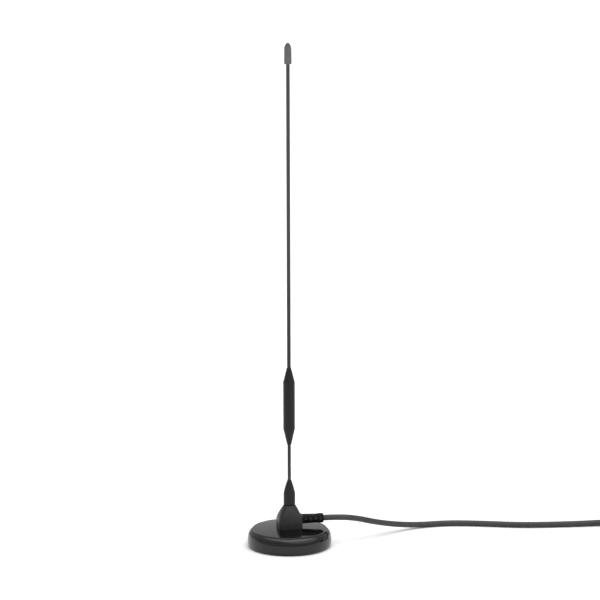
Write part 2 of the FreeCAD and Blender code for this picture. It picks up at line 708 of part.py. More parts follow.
def make_rods():
    rod("lower_rod", size("lower_rod_radius"), size("lower_rod_start"), size("lower_rod_end"))
    rod("upper_rod", size("upper_rod_radius"), size("upper_rod_start"), size("upper_rod_end"))


def make_coil_ferrules():
    """Brass ferrules that join the rods to the phasing coil, each with a disc at the coil."""
    radius, disc = size("coil_ferrule_radius"), size("coil_disc_radius")
    thickness, gap = size("coil_disc_thickness"), size("glued_gap")
    socket, former = size("lower_rod_radius") + gap, size("former_radius") + gap
    low, high = size("coil_cover_start") + size("coil_cover_lower_plug"), size("former_start")
    turned("lower_coil_ferrule", [
        (socket, low), (radius, low), (radius, high), (disc, high), (disc, high + thickness),
        (former, high + thickness), (former, high),
        (0, high), (0, size("lower_rod_end")), (socket, size("lower_rod_end"))])
    socket = size("upper_rod_radius") + gap
    low, high = size("former_end"), size("coil_cover_end") - size("coil_cover_upper_plug")
    turned("upper_coil_ferrule", [
        (0, low), (former, low), (former, low - thickness),
        (disc, low - thickness), (disc, low), (radius, low), (radius, high), (socket, high),
        (socket, size("upper_rod_start")), (0, size("upper_rod_start"))])


def make_phasing_coil():
    """Plastic former with the copper winding round it."""
    turned("coil_former", [
        (0, size("former_start")), (size("former_radius"), size("former_start")),
        (size("former_radius"), size("former_end")), (0, size("former_end"))])
    body = new_body("phasing_coil")
    height = size("winding_pitch") * size("winding_turns")
    middle = (size("former_start") + size("former_end")) / 2
    section = sketch_on(body, "XZ_Plane", "winding_section")
    draw_circle(section, size("winding_radius"), middle - height / 2, size("winding_wire_radius"))
    winding = feature(body, "PartDesign::AdditiveHelix", "winding", section)
    winding.ReferenceAxis = (section, ["V_Axis"])
    winding.Mode = "pitch-height-angle"
    bind(winding, "Pitch", size("winding_pitch"))
    bind(winding, "Height", height)


def make_coil_cover():
    low, high = size("coil_cover_start"), size("coil_cover_end")
    lower, upper = size("coil_cover_low"), size("coil_cover_high")
    radius, nose = size("coil_cover_radius"), size("coil_cover_nose_radius")
    inside = radius - size("coil_cover_wall")
    near, far = size("coil_cover_near"), size("coil_cover_far")
    snug = size("coil_ferrule_radius") + size("glued_gap")
    lower_plug = low + size("coil_cover_lower_plug")
    upper_plug = high - size("coil_cover_upper_plug")
    lower_hole = size("lower_rod_radius") + size("rod_clearance")
    upper_hole = size("upper_rod_radius") + size("rod_clearance")
    turned("coil_cover", [
        (lower_hole, low), (nose, low), (radius, lower), (radius, upper), (nose, high),
        (upper_hole, high), (upper_hole, upper_plug), (snug, upper_plug),
        (snug, upper + far), (inside, upper + near), (inside, lower - near),
        (snug, lower - far), (snug, lower_plug), (lower_hole, lower_plug)])


def make_tip_cap():
    """Safety cap: slight taper and a bullet nose that ends in a small flat."""
    low, top = size("cap_start"), size("cap_top")
    bore = size("upper_rod_radius") + size("glued_gap")
    radius, edge = size("cap_radius"), size("edge_break")
    turned("tip_cap", [
        (bore, low), (radius - edge, low), (radius, low + edge),
        (size("cap_shoulder_radius"), size("cap_shoulder"), size("cap_bend")),
        (size("cap_land_radius"), top), (0, top),
        (0, size("upper_rod_end")), (bore, size("upper_rod_end"))])


# ---------------------------------------------------------------- lead
def rounded_path(points):
    """Straight runs joined by tangent arcs, each arc as large as its two runs allow."""
    corners = [Vector(*point) for point in points]
    edges = []
    radii = []
    cursor = corners[0]
    for before, corner, after in zip(corners, corners[1:], corners[2:]):
        arriving, leaving = corner - before, after - corner
        reach = ARC_SHARE * min(arriving.Length, leaving.Length)
        turn = arriving.getAngle(leaving)
        start = corner - arriving / arriving.Length * reach
        finish = corner + leaving / leaving.Length * reach
        radius = reach / math.tan(turn / 2)
        radii.append(radius)
        inward = (start + finish) / 2 - corner
        to_centre = math.hypot(radius, reach)
        middle = corner + inward / inward.Length * (to_centre - radius)
        edges.append(Part.LineSegment(cursor, start).toShape())
        edges.append(Part.Arc(start, middle, finish).toShape())
        cursor = finish
    edges.append(Part.LineSegment(cursor, corners[-1]).toShape())
    return Part.Wire(edges), radii


def make_cord_tube(name, route):
    """One plain stretch of the lead, as a tube along its route."""
    radius = size("lead_radius").value
    path, radii = rounded_path(route)
    start, onward = Vector(*route[0]), Vector(*route[1]) - Vector(*route[0])
    section = Part.Wire(Part.makeCircle(radius, start, onward))
    solid = path.makePipeShell([section], True, False)
    piece = doc.addObject("Part::Feature", name)
    piece.Label = name
    piece.Shape = solid
    piece.Placement = Placement()
    pieces.append(piece)
    expected = math.pi * radius ** 2 * path.Length
    print(f"{name}: length {path.Length:.1f}, tightest radius {min(radii):.1f}, "
          f"radii {[round(r, 1) for r in radii]}, volume ratio {solid.Volume / expected:.4f}")
    if abs(solid.Volume / expected - 1) > 0.01:
        raise RuntimeError(f"{name} has the wrong volume")


def make_coil():
    """Outer shape of the coil of spare lead."""
    inner, outer = size("coil_inside_radius"), size("coil_outside_radius")
    low, corner = size("coil_lift"), size("coil_corner")
    high = low + size("coil_height")
    body = turned("coax_coil", [
        (inner + corner, low), (outer - corner, low, corner), (outer, low + corner),
        (outer, high - corner, corner), (outer - corner, high), (inner + corner, high, corner),
        (inner, high - corner), (inner, low + corner, corner)])
    body.Placement = Placement(Vector(SIZES["coil_x"], SIZES["coil_y"], 0), Rotation())
    bind(body, "Placement.Base.x", size("coil_x"))
    bind(body, "Placement.Base.y", size("coil_y"))


def make_cable_tie():
    """Strap round the coil's bundle, on the side away from the antenna."""
    body = new_body("cable_tie")
    thickness, half = size("tie_thickness"), size("tie_width") / 2
    slack, snug = size("tie_slack"), size("tie_gap")
    left, right = size("coil_inside_radius") - slack, size("coil_outside_radius") + snug
    low, high = size("coil_lift") - snug, size("coil_lift") + size("coil_height") + snug
    loop = sketch_on(body, "XZ_Plane", "tie_loop", -half)
    draw_box(loop, left, low, right, high)
    draw_box(loop, left - thickness, low - thickness, right + thickness, high + thickness)
    pad(body, loop, "tie_pad", size("tie_width"))
    body.Placement = Placement(Vector(SIZES["coil_x"], SIZES["coil_y"], 0),
                               Rotation(Vector(0, 0, 1), -90))
    bind(body, "Placement.Base.x", size("coil_x"))
    bind(body, "Placement.Base.y", size("coil_y"))


# ---------------------------------------------------------------- plug
# Each plug piece is built along Z with the mating face at height 0 and the lead below it.
def make_plug_body():
    body_radius, barrel = size("plug_body_radius"), size("plug_barrel_radius")
    gap, slack, edge = size("glued_gap"), size("ring_slack"), size("plug_edge")
    face, bore = size("plug_face_radius"), size("dielectric_radius") + gap
    core = size("core_radius") + gap
    nut_back = size("nut_overhang") - size("nut_length")
    barrel_top = nut_back - size("plug_back_gap")
    barrel_low = barrel_top - size("plug_barrel_length")
    stub, stub_low = size("braid_radius") + size("stub_wall"), barrel_low - size("stub_length")
    groove = size("ring_inner_radius")
    ring_low = nut_back + size("nut_back_length") + slack * 2
    ring_high = ring_low + size("ring_width") + slack * 2
    land, land_end = body_radius - slack, -size("plug_face_length")
    web = barrel_low + size("plug_web")
    body = turned("plug_body", [
        (core, stub_low), (stub, stub_low), (stub, barrel_low),
        (barrel - edge, barrel_low), (barrel, barrel_low + edge), (barrel, barrel_top - edge),
        (barrel - edge, barrel_top), (land, barrel_top), (land, ring_low),
        (groove, ring_low), (groove, ring_high), (land, ring_high),
        (land, land_end), (face, land_end), (face, 0), (bore, 0),
        (bore, web), (core, web)])
    laid_on_plug(body)


def make_plug_inside():
    nut_back = size("nut_overhang") - size("nut_length")
    back = nut_back - size("plug_back_gap") - size("plug_barrel_length") + size("plug_web")
    pin = size("pin_radius")
    laid_on_plug(tube("plug_dielectric", pin + size("glued_gap"), size("dielectric_radius"),
                      back, as_size(0)))
    tip, point = size("pin_overhang"), size("pin_point")
    pin_low = tip - size("pin_length")
    laid_on_plug(turned("plug_pin", [
        (0, pin_low), (pin, pin_low), (pin, tip - point), (pin - point, tip), (0, tip)]))
    ring_low = nut_back + size("nut_back_length") + size("ring_slack") * 3
    laid_on_plug(tube("plug_ring", size("ring_inner_radius") + size("press_clearance"),
                      size("ring_outer_radius") + size("ring_spread"),
                      ring_low, ring_low + size("ring_width")))
    seal_low = -size("seal_thickness") - size("seal_setback")
    laid_on_plug(tube("plug_gasket", size("seal_inner_radius") + size("glued_gap"),
                      size("nut_bore_radius") - size("seal_gap"),
                      seal_low, seal_low + size("seal_thickness")))


def make_coupling_nut():
    """Hexagon nut, open at the front and held by its back lip behind the ring."""
    body = new_body("coupling_nut")
    back = size("nut_overhang") - size("nut_length")
    flats = sketch_on(body, "XY_Plane", "nut_hexagon", back)
    hexagon(flats, size("nut_flats"))
    pad(body, flats, "nut_pad", size("nut_length"))
    lip = sketch_on(body, "XY_Plane", "nut_lip", back)
    draw_circle(lip, 0, 0, size("nut_back_radius"))
    pocket(body, lip, "nut_lip_cut", size("nut_length"))
    bore = sketch_on(body, "XY_Plane", "nut_bore", back + size("nut_back_length"))
    draw_circle(bore, 0, 0, size("nut_bore_radius"))
    pocket(body, bore, "nut_bore_cut", size("nut_length"))
    laid_on_plug(body)


def make_plug_back():
    """Crimp sleeve over the body's stub and braid, and the heat-shrink sleeve over both."""
    barrel_low = (size("nut_overhang") - size("nut_length") - size("plug_back_gap")
                  - size("plug_barrel_length"))
    crimp, slack = size("crimp_radius"), size("ring_slack")
    lead = size("lead_radius") + size("press_clearance")
    low = barrel_low - size("crimp_length")
    laid_on_plug(tube("crimp_sleeve", lead, crimp, low, barrel_low - slack))
    sleeve, neck = size("sleeve_radius"), size("sleeve_neck_radius")
    top = low + size("sleeve_overlap")
    bottom = top - size("sleeve_length")
    crimp_hole = crimp + size("glued_gap")
    laid_on_plug(turned("plug_sleeve", [
        (lead, bottom), (neck, bottom), (neck, low - size("sleeve_taper_start")),
        (sleeve, low - size("sleeve_taper_end")), (sleeve, top),
        (crimp_hole, top), (crimp_hole, low - slack), (lead, low - slack)]))


# ---------------------------------------------------------------- build, check, export
def build():
    fill_sheet()
    make_foot_pad()
    make_base_cover()
    make_pole_cup()
    make_ring_magnet()
    make_base_screws()
    make_housing_gasket()
    make_mount_housing()
    make_contact_stud()
    make_stud_nut()
    make_feed_lug()
    make_strain_relief()
    make_stripped_end()
    make_ground_strap()
    make_whip_washer()
    make_whip_boot()
    make_whip_ferrule()
    make_rods()
    make_coil_ferrules()
    make_phasing_coil()
    make_coil_cover()
    make_tip_cap()
    make_cord_tube("coax_lead", LEAD_ROUTE)
    make_cord_tube("coax_tail", TAIL_ROUTE)
    make_coil()
    make_cable_tie()
    make_plug_body()
    make_plug_inside()
    make_coupling_nut()
    make_plug_back()
    doc.recompute()


def check():
    for item in doc.Objects:
        if "Invalid" in item.State or "Error" in item.State:
            raise RuntimeError(f"{item.Name} failed: {item.State}")
    for piece in pieces:
        if piece.Shape.isNull() or not piece.Shape.isValid() or not piece.Shape.Solids:
            raise RuntimeError(f"{piece.Label} has no valid solid")


def export():
    os.makedirs("parts", exist_ok=True)
    for piece in pieces:
        piece.Shape.exportStep(f"parts/{piece.Label}.step")
        box = piece.Shape.BoundBox
        print(f"{piece.Label:20s} solids {len(piece.Shape.Solids)} volume {piece.Shape.Volume:10.2f} "
              f"z {box.ZMin:7.2f} to {box.ZMax:7.2f}")


build()
check()
export()
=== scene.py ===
"""Looks of the magnetic-mount whip antenna: materials, coax lead, plug, light and camera.

Metres, in the CAD frame: the origin is the centre of the base's underside, +Z runs up the whip and
+X is the way the lead leaves the housing.
"""
import math
from collections import namedtuple

import bmesh
import bpy
from mathutils import Matrix, Vector


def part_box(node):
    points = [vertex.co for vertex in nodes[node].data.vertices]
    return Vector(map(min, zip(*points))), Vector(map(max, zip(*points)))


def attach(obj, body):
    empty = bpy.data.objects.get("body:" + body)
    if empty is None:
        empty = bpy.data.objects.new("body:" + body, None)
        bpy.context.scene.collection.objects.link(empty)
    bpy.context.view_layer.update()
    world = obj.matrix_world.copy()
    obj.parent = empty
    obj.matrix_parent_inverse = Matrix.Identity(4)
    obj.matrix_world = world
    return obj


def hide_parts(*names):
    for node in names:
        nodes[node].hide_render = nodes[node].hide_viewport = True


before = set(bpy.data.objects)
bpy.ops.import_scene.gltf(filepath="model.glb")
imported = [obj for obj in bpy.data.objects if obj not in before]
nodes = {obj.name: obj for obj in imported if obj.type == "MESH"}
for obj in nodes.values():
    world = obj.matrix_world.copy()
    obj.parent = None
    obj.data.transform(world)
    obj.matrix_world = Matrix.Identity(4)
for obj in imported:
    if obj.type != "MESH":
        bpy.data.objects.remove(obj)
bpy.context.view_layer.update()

# ---------------------------------------------------------------- camera
CAMERA_AZIMUTH = math.radians(-10.5)
CAMERA_HEIGHT = 0.5475
CAMERA_REACH = 1.961
CAMERA_PITCH = math.radians(11.34)
CAMERA_ROLL = math.radians(-0.165)
CAMERA_SIDESTEP = 0.00687
SENSOR_WIDTH = 36.0
FOCAL_LENGTH = 197.8
CLIP_START = 0.1
CLIP_END = 50


def make_camera():
    """A long lens, a little to the left of the lead's side view and looking down on the base."""
    data = bpy.data.cameras.new("camera")
    data.sensor_width = SENSOR_WIDTH
    data.lens = FOCAL_LENGTH
    data.clip_start = CLIP_START
    data.clip_end = CLIP_END
    camera = bpy.data.objects.new("camera", data)
    bpy.context.scene.collection.objects.link(camera)
    right = Vector((math.cos(CAMERA_AZIMUTH), math.sin(CAMERA_AZIMUTH), 0))
    back = Vector((math.sin(CAMERA_AZIMUTH), -math.cos(CAMERA_AZIMUTH), 0))
    up = Vector((0, 0, 1))
    camera.location = back * CAMERA_REACH + right * CAMERA_SIDESTEP + up * CAMERA_HEIGHT
    turn = Matrix.Rotation(CAMERA_AZIMUTH, 4, "Z")
    tilt = Matrix.Rotation(math.pi / 2 - CAMERA_PITCH, 4, "X")
    roll = Matrix.Rotation(CAMERA_ROLL, 4, "Z")
    camera.rotation_euler = (turn @ tilt @ roll).to_euler()
    bpy.context.scene.camera = camera


# ---------------------------------------------------------------- materials
# The Mix node's colour sockets go by number, because its other types share their names.
MIX_FIRST = 6
MIX_SECOND = 7
MIX_RESULT = 2
# The Wave texture turns through this angle in one unit of distance.
WAVE_ANGLE = 20
# The normal's Z where dust starts to settle, and where it lies fully.
DUST_SLOPE = (0.55, 0.95)

# Dark and light tones of each metal.
BRASS = ((0.46, 0.32, 0.12), (0.80, 0.61, 0.30))
COPPER = ((0.45, 0.16, 0.08), (0.86, 0.42, 0.25))
GOLD = ((0.60, 0.38, 0.10), (0.96, 0.70, 0.30))
NICKEL = ((0.55, 0.53, 0.49), (0.76, 0.74, 0.70))
TIN = ((0.42, 0.42, 0.41), (0.74, 0.73, 0.70))
ZINC = ((0.52, 0.54, 0.57), (0.66, 0.66, 0.64))
MAGNET_PLATING = ((0.58, 0.57, 0.53), (0.68, 0.67, 0.64))
INSULATOR = ((0.76, 0.75, 0.71), (0.84, 0.83, 0.80))


class Finish:
    """A material under construction. Patterns are laid in the object's own coordinates, in metres."""

    def __init__(self, name, metallic=0.0, ior=1.5, specular=0.5):
        self.material = bpy.data.materials.new(name)
        self.material.use_nodes = True
        self.tree = self.material.node_tree
        self.shader = self.tree.nodes["Principled BSDF"]
        self.shader.inputs["Metallic"].default_value = metallic
        self.shader.inputs["IOR"].default_value = ior
        self.shader.inputs["Specular IOR Level"].default_value = specular
        self.place = self.node("ShaderNodeTexCoord").outputs["Object"]
        self.surface = None

    def node(self, kind, **settings):
        node = self.tree.nodes.new(kind)
        for key, value in settings.items():
            setattr(node, key, value)
        return node

    def join(self, source, target):
        self.tree.links.new(source, target)

    def noise(self, size, detail=3.0, stretch=(1, 1, 1)):
        """Clouds of about the given size. A small number in stretch draws them out on that axis."""
        mapping = self.node("ShaderNodeMapping")
        mapping.inputs["Scale"].default_value = stretch
        self.join(self.place, mapping.inputs["Vector"])
        node = self.node("ShaderNodeTexNoise")
        node.inputs["Scale"].default_value = 1 / size
        node.inputs["Detail"].default_value = detail
        self.join(mapping.outputs["Vector"], node.inputs["Vector"])
        return node.outputs["Fac"]

    def cells(self, size):
        """Distance from the middle of the nearest of many cells, each about the given size."""
        node = self.node("ShaderNodeTexVoronoi")
        node.inputs["Scale"].default_value = 1 / size
        self.join(self.place, node.inputs["Vector"])
        return node.outputs["Distance"]

    def bands(self, axis, pitch, wobble=0.0):
        """Ridges across one axis, pitch apart."""
        node = self.node("ShaderNodeTexWave", bands_direction=axis)
        node.inputs["Scale"].default_value = 2 * math.pi / WAVE_ANGLE / pitch
        node.inputs["Distortion"].default_value = wobble
        self.join(self.place, node.inputs["Vector"])
        return node.outputs["Fac"]

    def height(self):
        """Z in the frame's metres."""
        place = self.node("ShaderNodeSeparateXYZ")
        self.join(self.place, place.inputs["Vector"])
        return place.outputs["Z"]

    def span(self, source, reach, values=(0.0, 1.0)):
        """Map a pattern's values over reach to the values given, and no further."""
        node = self.node("ShaderNodeMapRange")
        for socket, value in zip(("From Min", "From Max", "To Min", "To Max"), (*reach, *values)):
            node.inputs[socket].default_value = value
        self.join(source, node.inputs["Value"])
        return node.outputs["Result"]

    def times(self, first, second):
        node = self.node("ShaderNodeMath", operation="MULTIPLY")
        self.join(first, node.inputs[0])
        self.join(second, node.inputs[1])
        return node.outputs[0]

    def facing_up(self):
        """1 on top, 0 on walls and below: where dust settles."""
        normal = self.node("ShaderNodeSeparateXYZ")
        self.join(self.node("ShaderNodeNewGeometry").outputs["Normal"], normal.inputs["Vector"])
        return self.span(normal.outputs["Z"], DUST_SLOPE)

    def blend(self, factor, first, second):
        """A colour that goes from first to second. Either may be a colour or another blend."""
        node = self.node("ShaderNodeMix", data_type="RGBA")
        self.join(factor, node.inputs["Factor"])
        for socket, colour in ((MIX_FIRST, first), (MIX_SECOND, second)):
            if isinstance(colour, tuple):
                node.inputs[socket].default_value = (*colour, 1)
            else:
                self.join(colour, node.inputs[socket])
        return node.outputs[MIX_RESULT]

    def colour(self, source):
        self.join(source, self.shader.inputs["Base Color"])

    def roughness(self, source):
        self.join(source, self.shader.inputs["Roughness"])

    def relief(self, source, depth, strength=1.0):
        """Bump of the given depth in metres, on top of the reliefs already laid."""
        bump = self.node("ShaderNodeBump")
        bump.inputs["Strength"].default_value = strength
        bump.inputs["Distance"].default_value = depth
        self.join(source, bump.inputs["Height"])
        if self.surface:
            self.join(self.surface, bump.inputs["Normal"])
        self.surface = bump.outputs["Normal"]
        self.join(self.surface, self.shader.inputs["Normal"])


def grey(level, warmth=0.0):
    return (level * (1 + warmth), level, level * (1 - warmth))


def gloss_black():
    """High-gloss moulded cover: faint orange peel, hairline scratches, smears and settled dust."""
    finish = Finish("gloss_black", ior=1.46)
    smears = finish.noise(size=0.011, detail=4)
    body = finish.blend(smears, grey(0.0020), grey(0.0042))
    specks = finish.span(finish.noise(size=0.00055, detail=1), reach=(0.70, 0.80), values=(0.0, 0.18))
    dust = finish.times(specks, finish.facing_up())
    finish.colour(finish.blend(dust, body, grey(0.30, warmth=0.04)))
    finish.roughness(finish.span(smears, reach=(0.35, 0.68), values=(0.07, 0.15)))
    finish.relief(finish.noise(size=0.0024, detail=2), depth=0.0000045)
    finish.relief(finish.noise(size=0.0006, detail=2, stretch=(1, 0.03, 1)), depth=0.0000022)
    finish.relief(finish.noise(size=0.0007, detail=2, stretch=(0.04, 1, 1)), depth=0.0000018)
    return finish.material


def satin_black(name, level, specular, roughness, seam=False):
    """Moulding with a fine spark-eroded texture, rubbed smoother in patches."""
    finish = Finish(name, ior=1.46, specular=specular)
    patches = finish.noise(size=0.006, detail=4)
    finish.colour(finish.blend(patches, grey(level * 0.85), grey(level * 1.2, warmth=0.01)))
    finish.roughness(finish.span(patches, reach=(0.32, 0.70), values=roughness))
    finish.relief(finish.cells(size=0.00022), depth=0.000012, strength=0.5)
    finish.relief(finish.noise(size=0.0011, detail=3), depth=0.000012)
    if seam:
        finish.relief(finish.noise(size=0.0008, detail=2, stretch=(1, 1, 0.05)), depth=0.000006)
    return finish.material


def rubber_black():
    """Matte moulded rubber with a chalky bloom in patches."""
    finish = Finish("rubber_black", specular=0.12)
    bloom = finish.noise(size=0.0035, detail=5)
    chalky = finish.span(bloom, reach=(0.40, 0.72))
    finish.colour(finish.blend(chalky, grey(0.0040), grey(0.0085, warmth=0.015)))
    finish.roughness(finish.span(bloom, reach=(0.30, 0.70), values=(0.55, 0.72)))
    finish.relief(finish.noise(size=0.00035, detail=3), depth=0.00002)
    finish.relief(finish.cells(size=0.0012), depth=0.00001, strength=0.6)
    return finish.material


def foot_rubber():
    """Soft foot pad: pressed cloth grain and rubbed, dusty patches."""
    finish = Finish("foot_rubber", ior=1.42)
    wear = finish.noise(size=0.008, detail=5)
    dusty = finish.span(wear, reach=(0.42, 0.70))
    finish.colour(finish.blend(dusty, grey(0.016), grey(0.036, warmth=0.02)))
    finish.roughness(finish.span(wear, reach=(0.30, 0.70), values=(0.88, 0.70)))
    grain = finish.times(finish.bands("X", pitch=0.0006), finish.bands("Y", pitch=0.0006))
    finish.relief(grain, depth=0.00004, strength=0.8)
    finish.relief(finish.noise(size=0.0004, detail=3), depth=0.00002)
    return finish.material


def cable_jacket():
    """Extruded PVC: fine flow marks, scuffs and a dull bloom."""
    finish = Finish("cable_jacket", specular=0.38)
    scuffs = finish.noise(size=0.004, detail=5)
    dull = finish.span(scuffs, reach=(0.35, 0.72))
    finish.colour(finish.blend(dull, grey(0.026), grey(0.042, warmth=0.01)))
    finish.roughness(finish.span(scuffs, reach=(0.30, 0.70), values=(0.40, 0.56)))
    finish.relief(finish.noise(size=0.0005, detail=3), depth=0.000014)
    finish.relief(finish.cells(size=0.0016), depth=0.00001, strength=0.5)
    return finish.material


def black_chrome(name, foot, head, foot_tone_and_shade, head_tone_and_shade):
    """Dark plated rod: drawn lines along its length and cloudy plating, with painted shade that makes it
    darker or lighter from foot to head as the light falls along it.
    """
    finish = Finish(name, metallic=1.0)
    cloud = finish.noise(size=0.007, detail=3, stretch=(1, 1, 0.3))
    # Painted shade: the tone changes from the rod's foot to its head in place of the light falling off
    # along it.
    painted_shade_rise = finish.span(finish.height(), reach=(foot, head))
    dark = finish.blend(painted_shade_rise, grey(foot_tone_and_shade * 0.8, warmth=0.01), grey(head_tone_and_shade * 0.8, warmth=0.01))
    light = finish.blend(painted_shade_rise, grey(foot_tone_and_shade * 1.25, warmth=-0.01),
                         grey(head_tone_and_shade * 1.25, warmth=-0.01))
    finish.colour(finish.blend(cloud, dark, light))
    finish.roughness(finish.span(cloud, reach=(0.30, 0.70), values=(0.20, 0.32)))
    finish.relief(finish.noise(size=0.00025, detail=2, stretch=(1, 1, 0.02)), depth=0.000006)
    return finish.material


def turned_metal(name, tones, axis, roughness, pitch=0.00012, wobble=0.6):
    """Lathe-turned metal: fine rings across its axis, and tarnish in patches."""
    finish = Finish(name, metallic=1.0)
    dark, light = tones
    tarnish = finish.noise(size=0.0022, detail=4)
    finish.colour(finish.blend(finish.span(tarnish, reach=(0.35, 0.70)), light, dark))
    finish.roughness(finish.span(tarnish, reach=(0.32, 0.70), values=roughness))
    finish.relief(finish.bands(axis, pitch, wobble), depth=0.0000035, strength=0.6)
    finish.relief(finish.noise(size=0.0008, detail=3), depth=0.000004)
    return finish.material


def plated_steel():
    """Bright zinc on pressed steel: crystal flakes of slightly different tint, and drawing marks."""
    finish = Finish("plated_steel", metallic=1.0)
    flakes = finish.cells(size=0.0021)
    finish.colour(finish.blend(finish.span(flakes, reach=(0.1, 0.8)), *ZINC))
    patches = finish.noise(size=0.0015, detail=4)
    finish.roughness(finish.span(patches, reach=(0.35, 0.65), values=(0.24, 0.42)))
    finish.relief(flakes, depth=0.00001, strength=0.4)
    finish.relief(finish.noise(size=0.0005, detail=3, stretch=(1, 1, 0.1)), depth=0.000008)
    return finish.material


def magnet_nickel():
    """Nickel over sintered magnet: pebbled plating with ground faces."""
    finish = Finish("magnet_nickel", metallic=1.0)
    pebbles = finish.noise(size=0.0009, detail=4)
    finish.colour(finish.blend(pebbles, *MAGNET_PLATING))
    finish.roughness(finish.span(pebbles, reach=(0.35, 0.65), values=(0.22, 0.36)))
    finish.relief(pebbles, depth=0.00002)
    return finish.material


def tinned_braid():
    """Woven tinned strands."""
    finish = Finish("tinned_braid", metallic=1.0)
    weave = finish.times(finish.bands("DIAGONAL", pitch=0.0003), finish.bands("X", pitch=0.0003))
    finish.colour(finish.blend(weave, *TIN))
    finish.roughness(finish.span(finish.noise(size=0.001), reach=(0.35, 0.65), values=(0.30, 0.48)))
    finish.relief(weave, depth=0.00006)
    return finish.material


def white_insulator():
    """Milky fluoropolymer, a little translucent, with a soft haze."""
    finish = Finish("white_insulator", ior=1.36)
    haze = finish.noise(size=0.0015, detail=3)
    finish.colour(finish.blend(haze, *INSULATOR))
    finish.roughness(finish.span(haze, reach=(0.35, 0.65), values=(0.32, 0.46)))
    finish.shader.inputs["Subsurface Weight"].default_value = 0.15
    finish.shader.inputs["Subsurface Radius"].default_value = (0.0008, 0.0008, 0.0007)
    finish.relief(finish.noise(size=0.0004), depth=0.000008)
    return finish.material


def heat_shrink():
    """Shrunk sleeve: satin, with drawn wrinkles along the lead and smooth high spots."""
    finish = Finish("heat_shrink", ior=1.5)
    wrinkles = finish.noise(size=0.0007, detail=3, stretch=(1, 0.12, 1))
    finish.colour(finish.blend(wrinkles, grey(0.012), grey(0.022)))
    finish.roughness(finish.span(wrinkles, reach=(0.35, 0.65), values=(0.34, 0.50)))
    finish.relief(wrinkles, depth=0.00004)
    return finish.material


def woven_strap():
    """Hook-and-loop webbing: crossed yarns under a short fuzzy pile."""
    finish = Finish("woven_strap", ior=1.4)
    fuzz = finish.noise(size=0.0004, detail=4)
    weave = finish.times(finish.bands("X", pitch=0.00055, wobble=1.5),
                         finish.bands("Z", pitch=0.0006, wobble=1.5))
    yarn = finish.blend(weave, grey(0.010), grey(0.030))
    pile = finish.span(fuzz, reach=(0.55, 0.75), values=(0.0, 0.5))
    finish.colour(finish.blend(pile, yarn, grey(0.055)))
    finish.roughness(finish.span(fuzz, reach=(0.30, 0.70), values=(0.80, 0.95)))
    finish.shader.inputs["Sheen Weight"].default_value = 0.35
    finish.shader.inputs["Sheen Roughness"].default_value = 0.5
    finish.relief(weave, depth=0.0002, strength=0.8)
    finish.relief(fuzz, depth=0.00016, strength=0.7)
    return finish.material


def cap_grey():
    """Grey moulded cap, darker towards its nose."""
    finish = Finish("cap_grey", ior=1.46)
    patches = finish.noise(size=0.0028, detail=4)
    body = finish.blend(patches, grey(0.082), grey(0.118))
    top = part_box("tip_cap")[1].z
    # The colour goes darker over the top few millimetres, towards the nose.
    darker_nose = finish.span(finish.height(), reach=(top - 0.0030, top - 0.0004), values=(0.0, 0.75))
    finish.colour(finish.blend(darker_nose, body, grey(0.035)))
    finish.roughness(finish.span(patches, reach=(0.32, 0.70), values=(0.42, 0.58)))
    finish.relief(finish.cells(size=0.00025), depth=0.00001, strength=0.5)
    finish.relief(finish.noise(size=0.001, detail=3), depth=0.00001)
    return finish.material


def make_materials():
    """Every finish by name. Each is given to the CAD nodes that wear it."""
    worn_by = {
        "gloss_black": (gloss_black(), ["base_cover"]),
        "housing": (satin_black("housing_satin", level=0.0135, specular=0.38, roughness=(0.36, 0.48)),
                    ["mount_housing"]),
        "boot": (satin_black("whip_boot_satin", level=0.0105, specular=0.30, roughness=(0.40, 0.54)),
                 ["whip_boot"]),
        "coil_cover": (satin_black("coil_cover_satin", level=0.0090, specular=0.27,
                                   roughness=(0.38, 0.50), seam=True),
                       ["coil_cover"]),
        "rubber": (rubber_black(), ["strain_relief", "whip_washer", "housing_gasket", "plug_gasket"]),
        "foot": (foot_rubber(), ["foot_pad"]),
        "jacket": (cable_jacket(), ["jacket_end"]),
        # Painted shade on both rods: their tones change from foot to head in place of the light's fall
        # along them.
        "rod": (black_chrome("upper_chrome", foot=0.108, head=0.190, foot_tone_and_shade=0.036, head_tone_and_shade=0.066),
                ["upper_rod"]),
        "lower_rod": (black_chrome("lower_chrome", foot=0.042, head=0.066,
                                   foot_tone_and_shade=0.048, head_tone_and_shade=0.036),
                      ["lower_rod"]),
        "cap": (cap_grey(), ["tip_cap"]),
        "magnet": (magnet_nickel(), ["ring_magnet"]),
        "steel": (plated_steel(), ["pole_cup", "cup_screws", "housing_screws"]),
        "brass": (turned_metal("turned_brass", BRASS, "Z", roughness=(0.16, 0.30)),
                  ["stud_nut", "whip_ferrule", "lower_coil_ferrule", "upper_coil_ferrule"]),
        "copper": (turned_metal("bare_copper", COPPER, "X", roughness=(0.22, 0.36)),
                   ["phasing_coil", "conductor_end"]),
        "nickel": (turned_metal("plated_nickel", NICKEL, "Y", roughness=(0.14, 0.26)),
                   ["plug_body", "crimp_sleeve", "plug_ring"]),
        "gold": (turned_metal("gold_flash", GOLD, "Y", roughness=(0.14, 0.24)), ["plug_pin"]),
        "braid": (tinned_braid(), ["braid_end", "ground_strap"]),
        "tin": (turned_metal("tinned_sheet", TIN, "Y", roughness=(0.26, 0.42), pitch=0.0004, wobble=2.0),
                ["feed_lug", "braid_ferrule"]),
        "insulator": (white_insulator(), ["core_end", "plug_dielectric", "coil_former"]),
        "shrink": (heat_shrink(), ["plug_sleeve"]),
        "strap": (woven_strap(), []),
    }
    for finish, names in worn_by.values():
        for name in names:
            mesh = nodes[name].data
            mesh.materials.clear()
            mesh.materials.append(finish)
    return {name: finish for name, (finish, names) in worn_by.items()}


# ---------------------------------------------------------------- mesh building
def smooth(share):
    """0 to 1 with an easy start and end, and no further."""
    share = max(0.0, min(1.0, share))
    return share * share * (3 - 2 * share)


